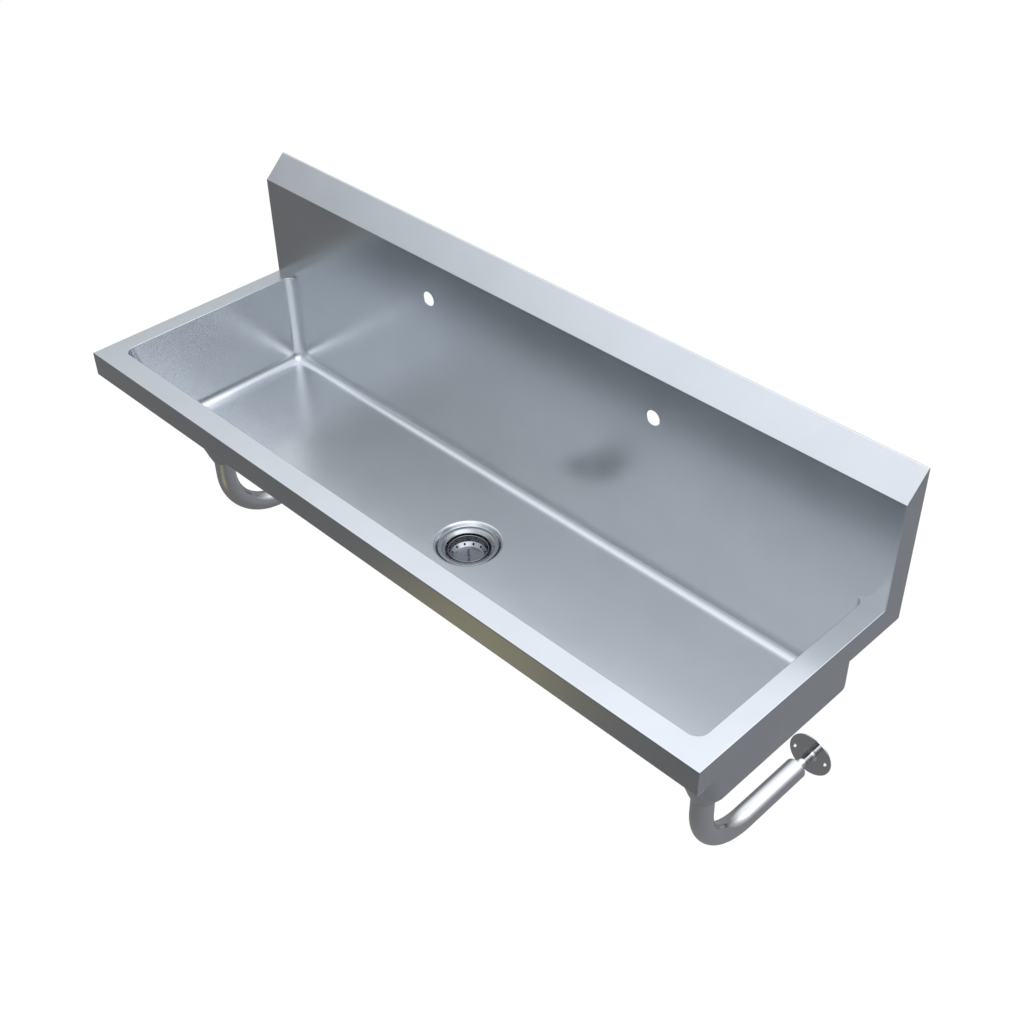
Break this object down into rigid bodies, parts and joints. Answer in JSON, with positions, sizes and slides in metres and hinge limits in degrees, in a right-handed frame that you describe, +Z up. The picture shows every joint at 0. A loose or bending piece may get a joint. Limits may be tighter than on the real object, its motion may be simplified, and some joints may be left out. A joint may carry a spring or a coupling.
{
  "type": "trough sink",
  "caption": "Wall-hung stainless wash trough with a coved bowl, sloping-top splashback with tap holes, strainer basket waste and bent tube stays on adjustable wall feet.",
  "frame": {"origin": "on the wall plane, midway along the trough, at the height of the rim's top", "axes": "+X along the wall to the trough's right, +Y into the wall, +Z up"},
  "size_m": [1.2, 0.395, 0.597],
  "materials": {
    "satin_sheet": "satin stainless sheet, 1.2 mm",
    "mill_sheet": "mill-finish stainless sheet, 2 mm",
    "spun_cone": "spun and polished stainless",
    "polished_tube": "polished stainless tube",
    "bright_rod": "bright drawn stainless bar",
    "mirror_flange": "mirror-polished stainless plate",
    "zinc_screw": "plain hex-headed screws",
    "pressed_waste": "polished stainless waste",
    "basket_steel": "pressed stainless strainer",
    "seal_rubber": "black rubber",
    "slip_plastic": "smooth slip ring",
    "nut_brass": "turned brass"
  },
  "bodies": {
    "trough": {"bowl": "satin_sheet", "rim_deck": "satin_sheet", "front_apron": "satin_sheet", "splashback": "satin_sheet", "left_end_panel": "satin_sheet", "right_end_panel": "satin_sheet", "hanger_channel": "mill_sheet", "wall_rail": "mill_sheet", "left_socket": "spun_cone", "right_socket": "spun_cone", "left_stay_tube": "polished_tube", "right_stay_tube": "polished_tube", "left_end_bush": "polished_tube", "right_end_bush": "polished_tube", "lock_screws": "zinc_screw", "waste_body": "pressed_waste", "waste_gasket": "seal_rubber", "waste_washer": "seal_rubber", "slip_ring": "slip_plastic", "waste_locknut": "nut_brass"},
    "left_foot": {"left_rod": "bright_rod", "left_wall_flange": "mirror_flange", "left_flange_collar": "bright_rod"},
    "right_foot": {"right_rod": "bright_rod", "right_wall_flange": "mirror_flange", "right_flange_collar": "bright_rod"},
    "basket_body": {"basket": "basket_steel", "basket_post": "bright_rod", "basket_seal": "seal_rubber", "seal_nut": "nut_brass"}
  },
  "joints": [
    {"name": "left_foot_slide", "type": "slide", "parent": "trough", "child": "left_foot", "axis": [0, 1, 0], "range_m": [-0.015, 0.015]},
    {"name": "right_foot_slide", "type": "slide", "parent": "trough", "child": "right_foot", "axis": [0, 1, 0], "range_m": [-0.015, 0.015]},
    {"name": "basket_lift", "type": "slide", "parent": "trough", "child": "basket_body", "axis": [0, 0, 1], "range_m": [0, 0.045]}
  ]
}
